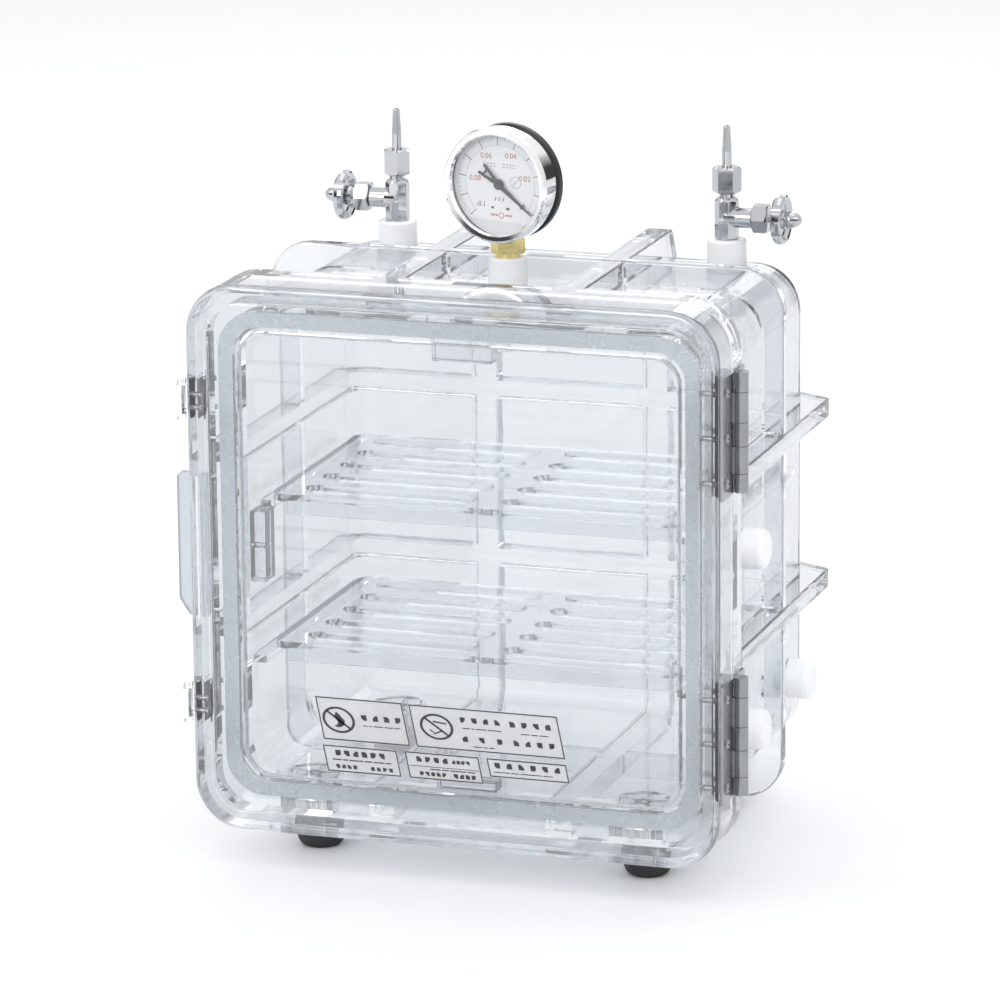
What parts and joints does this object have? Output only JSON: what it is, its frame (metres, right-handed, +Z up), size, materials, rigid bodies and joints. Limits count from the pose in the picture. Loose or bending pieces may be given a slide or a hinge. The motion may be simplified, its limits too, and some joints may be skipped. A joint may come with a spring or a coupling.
{
  "type": "vacuum desiccator cabinet",
  "caption": "Square clear-plastic vacuum desiccator cabinet with hinged door, draw latches, vacuum gauge, needle valves, shelves and rubber feet.",
  "frame": {"origin": "bottom centre of the whole object's box, on the surface that the feet stand on", "axes": "+X to the right of the door as seen from the front, +Y to the back, +Z up"},
  "size_m": [0.3226, 0.2354, 0.4019],
  "materials": {
    "clear_plastic": "clear, polished, faint cool tint",
    "gauge_glass": "clear window",
    "label_film": "translucent grey film with dark outlines",
    "white_silicone": "milky, soft sheen",
    "white_plastic": "milky white, satin",
    "brass": "machined, light polish",
    "chrome": "bright plated",
    "black_paint": "satin black",
    "dial_white": "matt white with printed scale",
    "valve_chrome": "bright plated brass",
    "steel": "polished with fine brushing",
    "latch_steel": "bright pressed steel",
    "black_rubber": "matt"
  },
  "bodies": {
    "cabinet": {"chamber_body": "clear_plastic", "mouth_blocks": "clear_plastic", "shelf_upper": "clear_plastic", "shelf_lower": "clear_plastic", "gauge_socket": "white_plastic", "valve_socket_left": "white_plastic", "valve_socket_right": "white_plastic", "socket_lock_nuts": "white_plastic", "plug_washers": "white_silicone", "gauge_stem": "brass", "gauge_case": "chrome", "gauge_back_ring": "black_paint", "gauge_bezel": "chrome", "gauge_lens": "gauge_glass", "gauge_dial": "dial_white", "gauge_bourdon_tube": "brass", "gauge_movement": "brass", "valve_left_body": "valve_chrome", "valve_left_packing_nut": "valve_chrome", "valve_left_tube_nut": "valve_chrome", "valve_left_hose_tube": "valve_chrome", "valve_right_body": "valve_chrome", "valve_right_packing_nut": "valve_chrome", "valve_right_tube_nut": "valve_chrome", "valve_right_hose_tube": "valve_chrome", "hinge_upper_body_leaf": "steel", "hinge_lower_body_leaf": "steel", "hinge_upper_pin": "steel", "hinge_lower_pin": "steel", "hinge_body_screws": "steel", "latch_upper_keeper": "latch_steel", "latch_lower_keeper": "latch_steel", "latch_keeper_rivets": "latch_steel", "rubber_feet": "black_rubber", "foot_screws": "steel"},
    "door": {"door": "clear_plastic", "door_gasket": "white_silicone", "door_label": "label_film", "hinge_upper_door_leaf": "steel", "hinge_lower_door_leaf": "steel", "hinge_door_screws": "steel", "latch_upper_base": "latch_steel", "latch_lower_base": "latch_steel", "latch_pivot_pins": "latch_steel", "latch_base_rivets": "latch_steel"},
    "latch_upper_lever": {"latch_upper_lever": "latch_steel"},
    "latch_upper_bail": {"latch_upper_bail": "latch_steel"},
    "latch_lower_lever": {"latch_lower_lever": "latch_steel"},
    "latch_lower_bail": {"latch_lower_bail": "latch_steel"},
    "valve_left_wheel": {"valve_left_spindle": "valve_chrome", "valve_left_handwheel": "valve_chrome", "valve_left_cap_nut": "valve_chrome"},
    "valve_right_wheel": {"valve_right_spindle": "valve_chrome", "valve_right_handwheel": "valve_chrome", "valve_right_cap_nut": "valve_chrome"},
    "needle": {"gauge_needle": "black_paint"},
    "plug_upper": {"side_plug_upper": "white_plastic"},
    "plug_lower": {"side_plug_lower": "white_plastic"},
    "plug_rear": {"side_plug_rear": "white_plastic"}
  },
  "joints": [
    {"name": "door_swing", "type": "hinge", "parent": "cabinet", "child": "door", "pos_m": [0.1573, -0.08975, 0.1732], "axis": [0, 0, 1], "range_deg": [0, 170]},
    {"name": "latch_upper_open", "type": "hinge", "parent": "door", "child": "latch_upper_lever", "pos_m": [-0.1519, -0.10075, 0.2602], "axis": [0, 0, -1], "range_deg": [0, 95]},
    {"name": "latch_upper_bail_swing", "type": "hinge", "parent": "latch_upper_lever", "child": "latch_upper_bail", "pos_m": [-0.1513, -0.10875, 0.2602], "axis": [0, 0, 1], "range_deg": [0, 110]},
    {"name": "latch_lower_open", "type": "hinge", "parent": "door", "child": "latch_lower_lever", "pos_m": [-0.1519, -0.10075, 0.0892], "axis": [0, 0, -1], "range_deg": [0, 95]},
    {"name": "latch_lower_bail_swing", "type": "hinge", "parent": "latch_lower_lever", "child": "latch_lower_bail", "pos_m": [-0.1513, -0.10875, 0.0892], "axis": [0, 0, 1], "range_deg": [0, 110]},
    {"name": "valve_left_turn", "type": "hinge", "parent": "cabinet", "child": "valve_left_wheel", "pos_m": [-0.0943, 0.08085, 0.3372], "axis": [-1, 0, 0], "range_deg": [0, 990]},
    {"name": "valve_right_turn", "type": "hinge", "parent": "cabinet", "child": "valve_right_wheel", "pos_m": [0.0997, 0.08085, 0.3372], "axis": [1, 0, 0], "range_deg": [0, 990]},
    {"name": "gauge_needle_swing", "type": "hinge", "parent": "cabinet", "child": "needle", "pos_m": [0.0027, -0.01375, 0.3699], "axis": [-0.1908, -0.9816, 0], "range_deg": [0, 263], "stiffness_Nm_per_rad": 0.0004},
    {"name": "plug_upper_pull", "type": "slide", "parent": "cabinet", "child": "plug_upper", "axis": [1, 0, 0], "range_m": [0, 0.018]},
    {"name": "plug_lower_pull", "type": "slide", "parent": "cabinet", "child": "plug_lower", "axis": [1, 0, 0], "range_m": [0, 0.018]},
    {"name": "plug_rear_pull", "type": "slide", "parent": "cabinet", "child": "plug_rear", "axis": [1, 0, 0], "range_m": [0, 0.018]}
  ],
  "couplings": [
    {"joint": "latch_upper_bail_swing", "follows": "latch_upper_open", "ratio": 1.15},
    {"joint": "latch_lower_bail_swing", "follows": "latch_lower_open", "ratio": 1.15}
  ]
}
